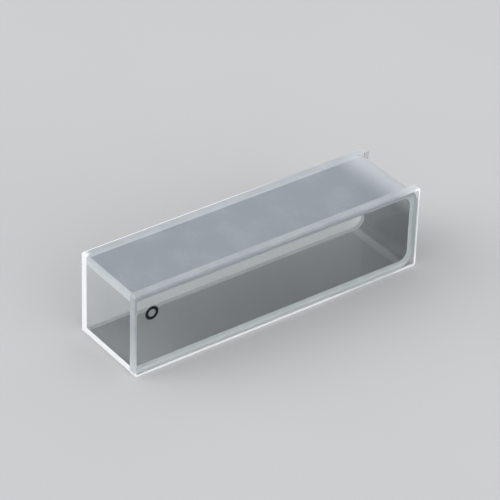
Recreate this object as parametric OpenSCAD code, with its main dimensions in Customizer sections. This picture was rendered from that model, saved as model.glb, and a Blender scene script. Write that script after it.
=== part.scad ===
// Spectrophotometer cuvette lying on one of its frosted sides.
// A bent U-shaped strip makes both side walls and the closed end; a polished window is
// fused over each open face of the U, and the mouth is left open at the other end.
// X runs along the cell, from the mouth (-X) to the closed end (+X).
// Y runs along the light path, and the front window faces -Y.
// Z points up from the side that the cell lies on.

/* [Sample space] */
// Light path: the gap between the two windows
path_length = 10; // [2:0.5:20]
// Gap between the two side walls
chamber_height = 10; // [6:0.5:20]
// Length of the cell, from the mouth to the outside of the closed end
cell_length = 46; // [20:0.5:80]

/* [Glass] */
// Thickness of the bent strip
strip_thickness = 1.25; // [0.8:0.05:2]
// Thickness of each window
window_thickness = 1.25; // [0.8:0.05:2]

/* [Corners and edges] */
// Radius inside each bend of the strip
bend_radius = 1.35; // [0.5:0.05:2.5]
// Corner taken off each window, measured along both of its edges
corner_cut = 0.25; // [0.1:0.05:0.6]
// Bevel around the outer face of each window
window_bevel = 0.2; // [0.05:0.05:0.4]
// Bevel across the outer mouth edge of each side wall
mouth_bevel = 0.3; // [0.05:0.05:0.6]

/* [Orientation mark] */
// Outer diameter of the printed ring
mark_diameter = 2; // [1:0.1:3.5]
// Width of the ring's line
mark_line = 0.45; // [0.2:0.05:0.45]
// Thickness of the fired enamel
mark_thickness = 0.03; // [0.02:0.01:0.1]
// Distance from the mouth to the middle of the ring
mark_from_mouth = 2.5; // [2.3:0.1:15]
// Distance from the upper edge to the middle of the ring
mark_from_top = 3.2; // [2.3:0.1:5]

/* [Hidden] */
$fn = 96;
// How far a cutting shape reaches past the face it cuts
cut_past = 1;
cell_height = chamber_height + 2 * strip_thickness;
outer_bend_radius = bend_radius + strip_thickness;
window_inner_y = path_length / 2;
window_outer_y = window_inner_y + window_thickness;
mouth_x = -cell_length / 2;

// Stands a flat outline (drawn with its mouth edge at 0) upright along the cell, from
// inner_y towards the front by the given thickness
module upright(inner_y, thickness) {
    translate([mouth_x, inner_y, 0])
        rotate([90, 0, 0])
            linear_extrude(thickness) children();
}

// Rectangle from the mouth to reach, with both corners at reach rounded
module round_ended(reach, height, radius) {
    square([reach - radius, height]);
    translate([0, radius]) square([reach, height - 2 * radius]);
    for (corner_z = [radius, height - radius])
        translate([reach - radius, corner_z]) circle(radius);
}

// Square that takes a 45 degree bevel of the given size off a corner at its middle
module bevel_section(size) {
    rotate(45) square(size * sqrt(2), center = true);
}

module u_outline() {
    difference() {
        round_ended(cell_length, cell_height, outer_bend_radius);
        translate([-cut_past, strip_thickness])
            round_ended(cell_length - strip_thickness + cut_past, chamber_height, bend_radius);
        for (edge_z = [0, cell_height])
            translate([0, edge_z]) bevel_section(mouth_bevel);
    }
}

module u_frame() {
    color([0.62, 0.65, 0.69])
        upright(path_length / 2, path_length) u_outline();
}

// Outline of a window: a rectangle with its four corners cut, in order around it
window_corners = [
    [corner_cut, 0],
    [cell_length - corner_cut, 0],
    [cell_length, corner_cut],
    [cell_length, cell_height - corner_cut],
    [cell_length - corner_cut, cell_height],
    [corner_cut, cell_height],
    [0, cell_height - corner_cut],
    [0, corner_cut]
];

// Bevel cutter along the window's outer face, from one corner of its outline to the next
module window_edge_cutter(start, end) {
    run = end - start;
    translate([start.x, start.y, window_thickness])
        rotate([0, 0, atan2(run.y, run.x)])
            translate([-cut_past, 0, 0])
                rotate([90, 0, 90])
                    linear_extrude(norm(run) + 2 * cut_past) bevel_section(window_bevel);
}

// Window lying flat on its inner face, with its outer face up and bevelled all round
module flat_window() {
    corner_count = len(window_corners);
    difference() {
        linear_extrude(window_thickness) polygon(window_corners);
        for (i = [0 : corner_count - 1])
            window_edge_cutter(window_corners[i], window_corners[(i + 1) % corner_count]);
    }
}

module front_window() {
    color([0.80, 0.90, 0.93, 0.35])
        translate([mouth_x, -window_inner_y, 0])
            rotate([90, 0, 0]) flat_window();
}

module rear_window() {
    mirror([0, 1, 0]) front_window();
}

// Plain printed ring near the mouth, on the outer face of the front window
module orientation_mark() {
    color([0.05, 0.05, 0.06])
        upright(-window_outer_y, mark_thickness)
            translate([mark_from_mouth, cell_height - mark_from_top])
                difference() {
                    circle(d = mark_diameter);
                    circle(d = mark_diameter - 2 * mark_line);
                }
}

u_frame();
front_window();
rear_window();
orientation_mark();
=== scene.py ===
"""Looks for the cuvette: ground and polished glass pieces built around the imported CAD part."""
import math

import bmesh
import bpy
from mathutils import Matrix, Vector


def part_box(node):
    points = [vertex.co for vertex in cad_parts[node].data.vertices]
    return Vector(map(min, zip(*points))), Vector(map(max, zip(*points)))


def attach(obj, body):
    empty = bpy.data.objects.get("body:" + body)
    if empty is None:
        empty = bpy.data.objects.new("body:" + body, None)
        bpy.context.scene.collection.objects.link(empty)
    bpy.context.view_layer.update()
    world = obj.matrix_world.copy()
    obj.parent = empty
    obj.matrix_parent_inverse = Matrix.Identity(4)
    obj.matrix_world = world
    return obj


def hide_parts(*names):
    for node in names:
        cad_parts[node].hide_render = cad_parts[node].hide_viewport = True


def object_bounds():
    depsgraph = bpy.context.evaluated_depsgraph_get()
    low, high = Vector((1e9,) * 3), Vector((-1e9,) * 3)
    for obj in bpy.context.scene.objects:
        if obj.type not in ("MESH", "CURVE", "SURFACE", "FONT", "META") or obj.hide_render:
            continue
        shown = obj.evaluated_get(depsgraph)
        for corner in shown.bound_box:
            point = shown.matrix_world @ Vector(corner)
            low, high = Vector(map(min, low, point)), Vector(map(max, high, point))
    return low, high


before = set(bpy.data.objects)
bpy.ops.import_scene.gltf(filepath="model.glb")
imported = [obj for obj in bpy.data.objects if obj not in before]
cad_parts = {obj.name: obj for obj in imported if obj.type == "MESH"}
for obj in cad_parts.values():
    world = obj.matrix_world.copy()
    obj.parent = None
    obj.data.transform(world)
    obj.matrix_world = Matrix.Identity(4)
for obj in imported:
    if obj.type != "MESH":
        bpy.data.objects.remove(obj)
CAD_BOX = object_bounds()

MM = 0.001  # the scene is in metres, and small sizes are written in millimetres
SAME_POINT = 1e-8  # metres within which a cut treats two points as one

# ---------------------------------------------------------------- sizes of the dressed pieces
BOND_GAP = 0.004 * MM  # hairline that lets each fused face show as a surface of its own
ARC_STEPS = 20  # faces round each bend of the strip
BEND_HOLD = 0.1 * MM  # narrow flat strip beside each bend, which keeps the long faces flat when shaded
WINDOW_BEVEL = 0.2 * MM
ARRIS_WIDTH, ARRIS_DEPTH = 0.4 * MM, 0.12 * MM  # ground arris on the lower edge and the closed end
MARGIN = 0.62 * MM  # height up to which the front window's outer face is frosted
CORNER_CUT = 0.25 * MM
CUT_SHRINK = 0.586  # how much shorter a corner cut gets for each unit that an outline moves in
MOUTH_BEVEL = 0.3 * MM
OUTER_BEND = 2.6 * MM
INNER_BEND = 1.35 * MM
STRIP = 1.25 * MM
BORDER = 0.5 * MM  # paler band of the frosted face beside the rear window, painted light for the fused rear face seen through the frost
RING_LINE = 0.45 * MM
RING_STEPS = 72
FLOOR_RADIUS = 2.3  # metres
FLOOR_DROP = 0.03 * MM  # the floor is a hair below the cell

# ---------------------------------------------------------------- colours, as sRGB 0 to 255
FROST_GREY = (146, 152, 159)
# underside: paler than the top face and paler still near the end as painted light, darker on the lower bend
# as painted shade
FROST_LOW_PAINTED_LIGHT = (206, 208, 209)
FROST_NEAR_END_PAINTED_LIGHT = (218, 220, 221)
LOWER_BEND_PAINTED_SHADE = (146, 151, 156)
# closed end and lower bend, darker as painted shade
FROST_END_PAINTED_SHADE = (132, 137, 142)
FROST_PALE = (236, 239, 241)
# paler frost at the bends, painted light
FROST_BEND_PAINTED_LIGHT = (214, 218, 221)
# band beside the rear window, paler as painted light
BORDER_PAINTED_LIGHT = (178, 183, 187)
# white of the arris line, also the painted light on the underside's bend and at the foot of the front bond
# band
LINE_WHITE = (252, 253, 253)
# dimmed stretches of the arris's white line, painted shade
LINE_PAINTED_SHADE = (222, 225, 226)
# top of the front window's edge, darker as painted shade
EDGE_PAINTED_SHADE = (170, 175, 179)
EDGE_GREY = (176, 181, 185)
EDGE_SOFT = (194, 198, 201)
EDGE_WHITE = (251, 252, 253)
# top of the front window's bevel, darker as painted shade
BEVEL_PAINTED_SHADE = (150, 155, 160)
RIM_PALE = (203, 207, 209)
# rim's top bevel, darker as painted shade
RIM_BEVEL_PAINTED_SHADE = (178, 183, 186)
BOND_PALE = (218, 222, 224)
# top of the front bond band, darker as painted shade
BOND_PAINTED_SHADE = (176, 181, 185)
GLASS_TINT = (251, 253, 253)
ENAMEL_BLACK = (6, 6, 7)
ENAMEL_WORN = (13, 13, 15)
FLOOR_PALE = (190, 190, 190)
FLOOR_PALER = (192, 192, 192)

QUARTZ_IOR = 1.46

# ---------------------------------------------------------------- light
SKY_TINT = (0.966, 0.98, 1.0, 1.0)
SKY_LIGHT, SKY_SEEN = 0.76, 0.65  # strength as light, and where the sky is looked at
KEY_FROM, KEY_LIGHT = (-0.7, 0.4, 0.4), 3.0
FRONT_FROM, FRONT_LIGHT = (0.05, -0.75, 0.25), 2.6
LOBE_POWER = 8.0  # a higher power makes a soft light narrower


def linear(colour):
    """A 0 to 255 sRGB colour as linear RGBA."""
    def channel(value):
        c = value / 255
        return c / 12.92 if c <= 0.04045 else ((c + 0.055) / 1.055) ** 2.4
    return (*[channel(v) for v in colour], 1.0)


# ---------------------------------------------------------------- node helpers
class Nodes:
    """A material's node tree, with short calls to add nodes and join them. Places are in millimetres."""

    def __init__(self, name):
        self.material = bpy.data.materials.new(name)
        self.material.use_nodes = True
        self.tree = self.material.node_tree
        self.tree.nodes.clear()
        self.shader = self.add("ShaderNodeBsdfPrincipled")
        self.output = self.add("ShaderNodeOutputMaterial")
        self.join(self.shader.outputs[0], self.output.inputs["Surface"])
        millimetres = self.add("ShaderNodeVectorMath", operation="SCALE")
        self.join(self.add("ShaderNodeTexCoord").outputs["Object"], millimetres.inputs[0])
        millimetres.inputs["Scale"].default_value = 1 / MM
        self.place = millimetres.outputs[0]

    def add(self, kind, **settings):
        node = self.tree.nodes.new(kind)
        for key, value in settings.items():
            setattr(node, key, value)
        return node

    def join(self, source, target):
        self.tree.links.new(source, target)

    def feed(self, value, socket):
        """Joins a socket to a node's output, or sets it to a plain number or colour."""
        if isinstance(value, bpy.types.NodeSocket):
            self.join(value, socket)
        else:
            socket.default_value = value

    def set(self, **values):
        for key, value in values.items():
            self.shader.inputs[key.replace("_", " ")].default_value = value

    def axes(self):
        node = self.add("ShaderNodeSeparateXYZ")
        self.join(self.place, node.inputs[0])
        return node.outputs

    def noise(self, scale, detail=3.0, roughness=0.55):
        node = self.add("ShaderNodeTexNoise")
        node.inputs["Scale"].default_value = scale
        node.inputs["Detail"].default_value = detail
        node.inputs["Roughness"].default_value = roughness
        self.join(self.place, node.inputs["Vector"])
        return node.outputs["Fac"]

    def ramp(self, source, low, high, from_value=0.0, to_value=1.0):
        """Maps source smoothly from low..high to from_value..to_value."""
        node = self.add("ShaderNodeMapRange")
        node.interpolation_type = "SMOOTHSTEP"
        limits = {"From Min": low, "From Max": high, "To Min": from_value, "To Max": to_value}
        for key, value in limits.items():
            node.inputs[key].default_value = value
        self.join(source, node.inputs["Value"])
        return node.outputs["Result"]

    def spread(self, noise, low=0.0, high=1.0):
        """Stretches the middle of a noise's range over low..high."""
        return self.ramp(noise, 0.3, 0.7, low, high)

    def maths(self, operation, first, second):
        node = self.add("ShaderNodeMath", operation=operation)
        self.feed(first, node.inputs[0])
        self.feed(second, node.inputs[1])
        return node.outputs[0]

    def mix(self, factor, first, second):
        """Blends two colours, each a node's output or an sRGB colour."""
        node = self.add("ShaderNodeMix", data_type="RGBA")
        self.feed(factor, node.inputs["Factor"])
        sockets = [s for s in node.inputs if s.type == "RGBA"]
        for socket, value in zip(sockets, (first, second)):
            self.feed(linear(value) if isinstance(value, tuple) else value, socket)
        return next(s for s in node.outputs if s.type == "RGBA")

    def stops(self, source, tones):
        """Colour along source, from a list of two or more (value, colour)."""
        last, blend = tones[0]
        for value, colour in tones[1:]:
            blend = self.mix(self.ramp(source, last, value), blend, colour)
            last = value
        return blend

    def surface(self, tone, grain, roughness, strength, depth):
        """Sets the colour, which is a node's output or one sRGB colour all over.

        A roughness (low, high) and a bump follow the grain.
        """
        self.feed(linear(tone) if isinstance(tone, tuple) else tone, self.shader.inputs["Base Color"])
        self.join(self.spread(grain, *roughness), self.shader.inputs["Roughness"])
        bump = self.add("ShaderNodeBump")
        bump.inputs["Strength"].default_value = strength
        bump.inputs["Distance"].default_value = depth
        self.join(grain, bump.inputs["Height"])
        self.join(bump.outputs["Normal"], self.shader.inputs["Normal"])

    def let_through(self, share):
        """Shows a share of the light behind the surface, scattered as ground glass scatters it."""
        behind = self.add("ShaderNodeBsdfTranslucent")
        behind.inputs["Color"].default_value = linear(EDGE_WHITE)
        both = self.add("ShaderNodeMixShader")
        both.inputs[0].default_value = share
        self.join(self.shader.outputs[0], both.inputs[1])
        self.join(behind.outputs[0], both.inputs[2])
        self.join(both.outputs[0], self.output.inputs["Surface"])


# ---------------------------------------------------------------- materials
def polished_glass():
    m = Nodes("polished_quartz")
    m.set(Base_Color=linear(GLASS_TINT), Transmission_Weight=1.0, IOR=QUARTZ_IOR, Roughness=0.0)
    return m.material


def frosted_margin():
    """See-through glass with a fine uneven frost."""
    m = Nodes("frosted_margin")
    m.set(Base_Color=linear(GLASS_TINT), Transmission_Weight=1.0, IOR=QUARTZ_IOR)
    m.join(m.spread(m.noise(9.0, 4.0), 0.3, 0.42), m.shader.inputs["Roughness"])
    return m.material


def ground_surface(m, tone, grain):
    """Finishes a material as a ground surface of the given tone."""
    m.set(Transmission_Weight=0.2, IOR=QUARTZ_IOR)
    m.surface(tone, grain, (0.39, 0.51), 0.3, 0.02 * MM)
    return m.material


def white_edge(name, through=0.0):
    """Ground glass that is white all over."""
    m = Nodes(name)
    if through:
        m.let_through(through)
    return ground_surface(m, EDGE_WHITE, m.noise(9.0, 4.0))


def ground_edge(name, tones, axis=2, arris=None, towards_end=()):
    """Ground glass with a soft grain. tones are (mm, colour) along an axis, and paint light and shade.

    arris is how far across, in mm, the painted highlight line along the plate's outer edge starts. It fades
    towards the closed end. towards_end is a list of (start, stop, colour), in mm along the cell: each
    colour, painted light, fades in there.
    """
    m = Nodes(name)
    grain = m.noise(9.0, 4.0)
    cloud = m.noise(0.35)
    x, y, _ = m.axes()
    tone = m.stops(m.axes()[axis], tones)
    if arris:
        # painted highlight line along the outer edge, fading towards the closed end
        white = m.maths("MULTIPLY", m.ramp(y, arris, arris + 0.08), m.ramp(x, -2.0, 12.0, 1.0, 0.1))
        tone = m.mix(white, tone, EDGE_WHITE)
    for start, stop, colour in towards_end:
        tone = m.mix(m.ramp(x, start, stop), tone, colour)
    soft = m.maths("ADD", m.spread(cloud, -0.04, 0.05), m.spread(grain, 0.0, 0.08))
    return ground_surface(m, m.mix(soft, tone, EDGE_WHITE), grain)


def frosted_glass(name, tones, transmission=0.25, axis=0):
    """Ground outer face of the bent strip, a cool uneven grey. tones paint light and shade, as (mm, colour)
    along an axis.
    """
    m = Nodes(name)
    m.set(Transmission_Weight=transmission, IOR=QUARTZ_IOR)
    grain = m.noise(7.0, 5.0, 0.65)
    cloud = m.noise(0.16)
    uneven = m.maths("ADD", m.spread(cloud, -0.06, 0.08), m.spread(grain, -0.05, 0.05))
    tone = m.mix(uneven, m.stops(m.axes()[axis], tones), FROST_PALE)
    m.surface(tone, grain, (0.45, 0.6), 0.35, 0.03 * MM)
    return m.material


def smooth_surface(m, tone, grain):
    """Finishes a material as a more finely ground surface of the given tone."""
    m.set(Transmission_Weight=0.05, IOR=QUARTZ_IOR)
    m.surface(tone, grain, (0.4, 0.5), 0.15, 0.02 * MM)
    return m.material


def bonded_rear():
    """Strip's edge that is fused to the rear window, white all over."""
    m = Nodes("bonded_rear")
    m.let_through(0.65)
    return smooth_surface(m, EDGE_WHITE, m.noise(5.0, 4.0))


def bonded_front():
    """Strip's edge that is fused to the front window, and seen through it as a soft band, with painted
    light at its foot and painted shade at its top.
    """
    m = Nodes("bonded_front")
    tone = m.stops(m.axes()[2], [(0.4, LINE_WHITE), (0.9, BOND_PALE), (10.4, BOND_PALE), (11.6, BOND_PAINTED_SHADE)])
    grain = m.noise(5.0, 4.0)
    return smooth_surface(m, m.mix(m.spread(grain, 0.0, 0.1), tone, EDGE_WHITE), grain)


def ground_arris():
    """Front window's arris: a white line along the outline, dimmed by painted shade in places."""
    m = Nodes("ground_arris")
    x, _, z = m.axes()
    lower = m.stops(x, [(7.0, LINE_WHITE), (14.0, LINE_PAINTED_SHADE), (18.5, LINE_PAINTED_SHADE), (20.5, LINE_WHITE)])
    end = m.stops(z, [(1.0, LINE_WHITE), (3.0, LINE_PAINTED_SHADE), (9.5, LINE_PAINTED_SHADE), (11.5, LINE_WHITE)])
    tone = m.mix(m.ramp(x, 22.3, 22.6), lower, end)
    grain = m.noise(5.0, 4.0)
    return smooth_surface(m, m.mix(m.spread(grain, 0.0, 0.1), tone, EDGE_WHITE), grain)


def fired_enamel():
    m = Nodes("fired_enamel")
    m.set(Specular_IOR_Level=0.2)
    grain = m.noise(14.0)
    m.surface(m.mix(m.spread(grain), ENAMEL_BLACK, ENAMEL_WORN), grain, (0.5, 0.65), 0.3, 0.01 * MM)
    return m.material


def pale_ground():
    m = Nodes("pale_ground")
    m.join(m.mix(m.spread(m.noise(0.02, 2.0)), FLOOR_PALE, FLOOR_PALER), m.shader.inputs["Base Color"])
    m.set(Roughness=0.9, Specular_IOR_Level=0.15)
    return m.material


# ---------------------------------------------------------------- mesh helpers
def arc(centre, radius, start, end, steps):
    """Points (x, z) round an arc, from one angle in degrees to the other."""
    points = []
    for i in range(steps + 1):
        a = math.radians(start + (end - start) * i / steps)
        points.append((centre[0] + radius * math.cos(a), centre[1] + radius * math.sin(a)))
    return points


def extrude_outline(bm, outline, y_low, y_high, cap):
    """A closed prism from rows of (x, z, material number), between two y planes.

    Each row's material is that of the side that starts there. cap is the material of both ends.
    """
    near = [bm.verts.new((x, y_low, z)) for x, z, _ in outline]
    far = [bm.verts.new((x, y_high, z)) for x, z, _ in outline]
    count = len(outline)
    bm.faces.new(near).material_index = cap
    bm.faces.new(list(reversed(far))).material_index = cap
    for i in range(count):
        j = (i + 1) % count
        bm.faces.new((near[j], near[i], far[i], far[j])).material_index = outline[i][2]
    bmesh.ops.recalc_face_normals(bm, faces=bm.faces)


def cut_faces(bm, faces, point, normal):
    """Cuts some of the mesh's faces along a plane, and leaves both sides in place."""
    parts = set(faces) | {e for f in faces for e in f.edges} | {v for f in faces for v in f.verts}
    bmesh.ops.bisect_plane(bm, geom=list(parts), plane_co=point, plane_no=normal, dist=SAME_POINT)


def looks_along_y(face, side):
    """Tells whether a face looks straight along the light path, to -Y or +Y as side is -1 or 1."""
    return face.normal.y * side > 0.99


def finish_mesh(bm, name, materials, sharp_degrees=25):
    """Makes an object from bm, smooth but for its sharp edges."""
    limit = math.radians(sharp_degrees)
    for face in bm.faces:
        face.smooth = True
    for edge in bm.edges:
        edge.smooth = len(edge.link_faces) == 2 and edge.calc_face_angle(0.0) < limit
    mesh = bpy.data.meshes.new(name)
    bm.to_mesh(mesh)
    bm.free()
    for material in materials:
        mesh.materials.append(material)
    piece = bpy.data.objects.new(name, mesh)
    bpy.context.scene.collection.objects.link(piece)
    return piece


def dress(piece, node):
    """Puts a piece on the cell in place of a CAD node."""
    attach(piece, "root")
    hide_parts(node)


# ---------------------------------------------------------------- pieces
def build_u_frame(glass):
    """The bent strip: frosted outside, polished inside, with ground faces at the mouth and at the bonds."""
    low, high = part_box("u_frame")
    FROSTED, FROSTED_LOW, FROSTED_END, POLISHED, BONDED_FRONT, BONDED_REAR, RIM, BORDER_PAINTED_BAND = range(8)
    bend_x, wall_x = high.x - OUTER_BEND, high.x - STRIP
    inner_low, inner_high = low.z + STRIP, high.z - STRIP
    inner_x = wall_x - INNER_BEND
    bottom = [(low.x + MOUTH_BEVEL, low.z), (bend_x - BEND_HOLD, low.z)]
    bottom += arc((bend_x, low.z + OUTER_BEND), OUTER_BEND, -90, 0, ARC_STEPS)
    end = [(high.x, low.z + OUTER_BEND + BEND_HOLD), (high.x, high.z - OUTER_BEND - BEND_HOLD)]
    top = arc((bend_x, high.z - OUTER_BEND), OUTER_BEND, 0, 90, ARC_STEPS)
    top += [(bend_x - BEND_HOLD, high.z)]
    inner = [(low.x, inner_high), (inner_x - BEND_HOLD, inner_high)]
    inner += arc((inner_x, inner_high - INNER_BEND), INNER_BEND, 90, 0, ARC_STEPS)
    inner += [(wall_x, inner_high - INNER_BEND - BEND_HOLD), (wall_x, inner_low + INNER_BEND + BEND_HOLD)]
    inner += arc((inner_x, inner_low + INNER_BEND), INNER_BEND, 0, -90, ARC_STEPS)
    inner += [(inner_x - BEND_HOLD, inner_low)]
    rows = [(x, z, FROSTED_LOW) for x, z in bottom] + [(x, z, FROSTED_END) for x, z in end]
    rows += [(x, z, FROSTED) for x, z in top]
    rows += [(low.x + MOUTH_BEVEL, high.z, RIM), (low.x, high.z - MOUTH_BEVEL, RIM)]
    rows += [(x, z, POLISHED) for x, z in inner]
    rows += [(low.x, inner_low, RIM), (low.x, low.z + MOUTH_BEVEL, RIM)]
    bm = bmesh.new()
    extrude_outline(bm, rows, low.y + BOND_GAP, high.y - BOND_GAP, BONDED_FRONT)
    border_y = high.y - BORDER
    cut_faces(bm, [f for f in bm.faces if f.material_index == FROSTED], (0, border_y, 0), (0, 1, 0))
    for face in bm.faces:
        if looks_along_y(face, 1):
            face.material_index = BONDED_REAR
        # the band beside the rear window gets the painted-light material
        elif face.material_index == FROSTED and face.calc_center_median().y > border_y:
            face.material_index = BORDER_PAINTED_BAND
    # underside: painted light over the floor, a painted highlight band at the lower bend, painted shade on
    # the bend and end beyond it
    underside = [(2.0, FROST_LOW_PAINTED_LIGHT), (19.8, FROST_NEAR_END_PAINTED_LIGHT), (20.5, LINE_WHITE), (21.1, LINE_WHITE),
                 (21.9, LOWER_BEND_PAINTED_SHADE), (22.9, FROST_END_PAINTED_SHADE)]
    # rim: white at the bottom as painted light, and a darker top bevel, painted shade that evens out the
    # extra light it gets
    rim = [(1.5, EDGE_WHITE), (11.0, RIM_PALE), (12.15, RIM_PALE), (12.25, RIM_BEVEL_PAINTED_SHADE)]
    materials = [
        # top face: paler towards the bend, painted light
        frosted_glass("frosted_quartz", [(16.0, FROST_GREY), (23.0, FROST_BEND_PAINTED_LIGHT)]),
        frosted_glass("frosted_quartz_underside", underside),
        # end wall: painted shade low down, painted light at the upper bend
        frosted_glass("frosted_quartz_end", [(7.0, FROST_END_PAINTED_SHADE), (10.0, FROST_BEND_PAINTED_LIGHT)], axis=2),
        glass,
        bonded_front(),
        bonded_rear(),
        ground_edge("ground_rim", rim),
        # border band: paler, painted light for the fused rear face seen through the frost
        frosted_glass("frosted_quartz_border", [(17.0, BORDER_PAINTED_LIGHT), (23.0, FROST_BEND_PAINTED_LIGHT)], transmission=0.1),
    ]
    return finish_mesh(bm, "u_frame_glass", materials)


def build_window(node, side, glass, edge, bevel, lower_edge, end_edge, arris, margin=None):
    """A polished plate with ground edges. side is -1 for the front window and 1 for the rear one.

    edge and bevel are for the top and the mouth. lower_edge and end_edge are seen from within the
    glass, and arris is the narrow band that is ground off the outer face beside them. margin is for a
    strip of the outer face above the lower arris.
    """
    low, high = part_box(node)
    outer_y, inner_y = (low.y, high.y) if side < 0 else (high.y, low.y)
    POLISHED, EDGE, BEVEL, LOWER_EDGE, END_EDGE, ARRIS, FROSTED_MARGIN = range(7)

    def outline(left, right, bottom, top, cut):
        return [(left + cut, bottom), (right - cut, bottom), (right, bottom + cut), (right, top - cut),
                (right - cut, top), (left + cut, top), (left, top - cut), (left, bottom + cut)]

    # both outlines go round from the lower mouth corner, and the outer face is further in beside the
    # arris than beside the bevel
    full = outline(low.x, high.x, low.z, high.z, CORNER_CUT)
    face = outline(low.x + WINDOW_BEVEL, high.x - ARRIS_WIDTH, low.z + ARRIS_WIDTH,
                   high.z - WINDOW_BEVEL, CORNER_CUT - CUT_SHRINK * WINDOW_BEVEL)
    # how far each corner is sunk below the outer face, and the materials of the side that starts there
    sunk = [ARRIS_DEPTH] * 3 + [WINDOW_BEVEL] * 4 + [ARRIS_DEPTH]
    sides = [LOWER_EDGE] + [END_EDGE] * 3 + [EDGE] * 4
    bevels = [ARRIS] * 4 + [BEVEL] * 4
    bm = bmesh.new()
    inner = [bm.verts.new((x, inner_y, z)) for x, z in full]
    step = [bm.verts.new((x, outer_y - side * depth, z)) for (x, z), depth in zip(full, sunk)]
    outer = [bm.verts.new((x, outer_y, z)) for x, z in face]
    for ring in (inner, outer):
        bm.faces.new(ring).material_index = POLISHED
    for i in range(8):
        j = (i + 1) % 8
        bm.faces.new((inner[i], inner[j], step[j], step[i])).material_index = sides[i]
        bm.faces.new((step[i], step[j], outer[j], outer[i])).material_index = bevels[i]
    bmesh.ops.recalc_face_normals(bm, faces=bm.faces)
    materials = [glass, edge, bevel, lower_edge, end_edge, arris]
    if margin:
        materials.append(margin)
        margin_z = low.z + MARGIN
        cut_faces(bm, [f for f in bm.faces if looks_along_y(f, side)], (0, 0, margin_z), (0, 0, 1))
        for face in bm.faces:
            if looks_along_y(face, side) and face.calc_center_median().z < margin_z:
                face.material_index = FROSTED_MARGIN
    return finish_mesh(bm, node + "_glass", materials, sharp_degrees=10)


def build_mark():
    """Printed ring with a softly domed line."""
    low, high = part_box("orientation_mark")
    centre = (low + high) / 2
    outer = (high.x - low.x) / 2
    height = high.y - low.y
    # (share of the line's width in from the outer edge, share of its height)
    section = [(1.0, 0.0), (0.97, 0.6), (0.85, 0.95), (0.5, 1.0), (0.15, 0.95), (0.03, 0.6), (0.0, 0.0)]
    bm = bmesh.new()
    rings = []
    for i in range(RING_STEPS):
        a = math.tau * i / RING_STEPS
        ring = []
        for share, rise in section:
            r = outer - RING_LINE * share
            ring.append(bm.verts.new((centre.x + r * math.cos(a), high.y - rise * height,
                                      centre.z + r * math.sin(a))))
        rings.append(ring)
    for i in range(RING_STEPS):
        here, after = rings[i], rings[(i + 1) % RING_STEPS]
        for k in range(len(section)):
            n = (k + 1) % len(section)
            bm.faces.new((here[k], here[n], after[n], after[k]))
    bmesh.ops.recalc_face_normals(bm, faces=bm.faces)
    return finish_mesh(bm, "orientation_ring", [fired_enamel()], sharp_degrees=60)


# ---------------------------------------------------------------- stage, lights and camera
def build_stage():
    """Flat floor, out to where it meets a background of the same tone."""
    bm = bmesh.new()
    bmesh.ops.create_circle(bm, cap_ends=True, segments=96, radius=FLOOR_RADIUS)
    bmesh.ops.translate(bm, verts=bm.verts, vec=(0, 0, -FLOOR_DROP))
    finish_mesh(bm, "pale_floor", [pale_ground()])


def build_lights():
    """Soft studio light: an even sky, a wide key from behind the mouth and a wide low front light.

    Where the sky is looked at, by eye, in a mirror or through clear glass, it has the floor's tone instead.
    """
    world = bpy.data.worlds.new("studio")
    bpy.context.scene.world = world
    world.use_nodes = True
    tree = world.node_tree

    def maths(operation, first, second, clamp=False):
        node = tree.nodes.new("ShaderNodeMath")
        node.operation = operation
        node.use_clamp = clamp
        for socket, value in zip(node.inputs, (first, second)):
            if isinstance(value, float):
                socket.default_value = value
            else:
                tree.links.new(value, socket)
        return node.outputs[0]

    def soft_light(towards, strength):
        """Light that fades smoothly away from one direction."""
        facing = tree.nodes.new("ShaderNodeVectorMath")
        facing.operation = "DOT_PRODUCT"
        tree.links.new(direction, facing.inputs[0])
        facing.inputs[1].default_value = Vector(towards).normalized()
        in_front = maths("ADD", facing.outputs["Value"], 0.0, clamp=True)
        return maths("MULTIPLY", maths("POWER", in_front, LOBE_POWER), strength)

    direction = tree.nodes.new("ShaderNodeTexCoord").outputs["Generated"]
    lobes = maths("ADD", soft_light(KEY_FROM, KEY_LIGHT), soft_light(FRONT_FROM, FRONT_LIGHT))
    lighting = maths("ADD", lobes, SKY_LIGHT)
    path = tree.nodes.new("ShaderNodeLightPath")
    by_eye = maths("MAXIMUM", path.outputs["Is Camera Ray"], path.outputs["Is Glossy Ray"])
    by_eye = maths("MAXIMUM", by_eye, path.outputs["Is Transmission Ray"])
    not_scattered = maths("LESS_THAN", path.outputs["Diffuse Depth"], 0.5)
    strength = tree.nodes.new("ShaderNodeMix")
    tree.links.new(maths("MULTIPLY", by_eye, not_scattered), strength.inputs[0])
    tree.links.new(lighting, strength.inputs[2])
    strength.inputs[3].default_value = SKY_SEEN
    background = tree.nodes["Background"]
    background.inputs["Color"].default_value = SKY_TINT
    tree.links.new(strength.outputs[0], background.inputs["Strength"])


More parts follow.
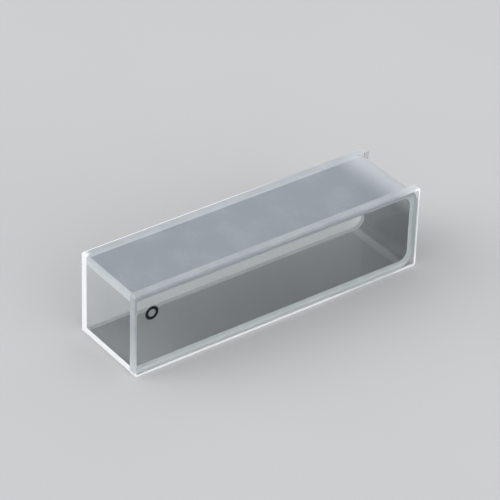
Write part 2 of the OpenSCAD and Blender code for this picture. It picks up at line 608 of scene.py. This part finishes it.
def build_camera():
    """Long lens, 37 degrees round towards the mouth and 34 degrees up."""
    azimuth, elevation, roll = math.radians(-37.1), math.radians(34.1), math.radians(1.93)
    distance, slide, lift = 0.3663, -0.44 * MM, 1.16 * MM
    low, high = CAD_BOX
    back = Vector((math.sin(azimuth) * math.cos(elevation), -math.cos(azimuth) * math.cos(elevation),
                   math.sin(elevation)))
    right = Vector((0, 0, 1)).cross(back).normalized()
    up = back.cross(right)
    turned_right = right * math.cos(roll) + up * math.sin(roll)
    turned_up = up * math.cos(roll) - right * math.sin(roll)
    centre = (low + high) / 2
    place = centre + turned_right * slide + turned_up * lift + back * distance
    data = bpy.data.cameras.new("camera")
    data.sensor_width = 36.0
    data.lens = 199.7
    data.clip_start, data.clip_end = 0.01, 10.0
    camera = bpy.data.objects.new("camera", data)
    rotation = Matrix((turned_right, turned_up, back)).transposed().to_4x4()
    camera.matrix_world = Matrix.Translation(place) @ rotation
    bpy.context.scene.collection.objects.link(camera)
    bpy.context.scene.camera = camera


build_camera()

glass = polished_glass()
rear_white = white_edge("ground_white_edge")
dress(build_u_frame(glass), "u_frame")
dress(build_window(
    "front_window", -1, glass,
    # edge: white at the bottom as painted light, darker upwards as painted shade, paler towards the closed
    # end as painted light
    edge=ground_edge("ground_front_edge", [(0.3, EDGE_WHITE), (0.9, EDGE_SOFT), (8.0, EDGE_PAINTED_SHADE)],
                     towards_end=[(18.3, 22.3, RIM_PALE)]),
    # bevel: white at the bottom as painted light, darker upwards as painted shade, paler towards the closed
    # end with a painted highlight at its corner
    bevel=ground_edge("ground_front_bevel", [(0.4, EDGE_WHITE), (1.0, EDGE_SOFT), (8.0, BEVEL_PAINTED_SHADE)],
                      towards_end=[(18.3, 22.3, RIM_PALE), (21.8, 22.4, EDGE_WHITE)]),
    lower_edge=glass,
    end_edge=white_edge("ground_front_end", through=0.5),
    arris=ground_arris(),
    margin=frosted_margin(),
), "front_window")
dress(build_window(
    "rear_window", 1, glass,
    # edge: white at the mouth end and paler near the closed end as painted light, with a painted highlight
    # line on its outer side
    edge=ground_edge("ground_rear_edge", [(-22.9, EDGE_WHITE), (-22.0, EDGE_GREY), (17.0, EDGE_GREY),
                                          (22.0, EDGE_SOFT)], axis=0, arris=5.88),
    bevel=rear_white,
    lower_edge=rear_white,
    end_edge=white_edge("ground_rear_end", through=0.4),
    arris=rear_white,
), "rear_window")
dress(build_mark(), "orientation_mark")
build_stage()
build_lights()

scene = bpy.context.scene
scene.view_settings.view_transform = "Standard"
# light needs many bounces to reach the faces within the glass
scene.cycles.max_bounces = 24
scene.cycles.diffuse_bounces = 10
scene.cycles.glossy_bounces = 20
scene.cycles.transmission_bounces = 20
scene.cycles.transparent_max_bounces = 16
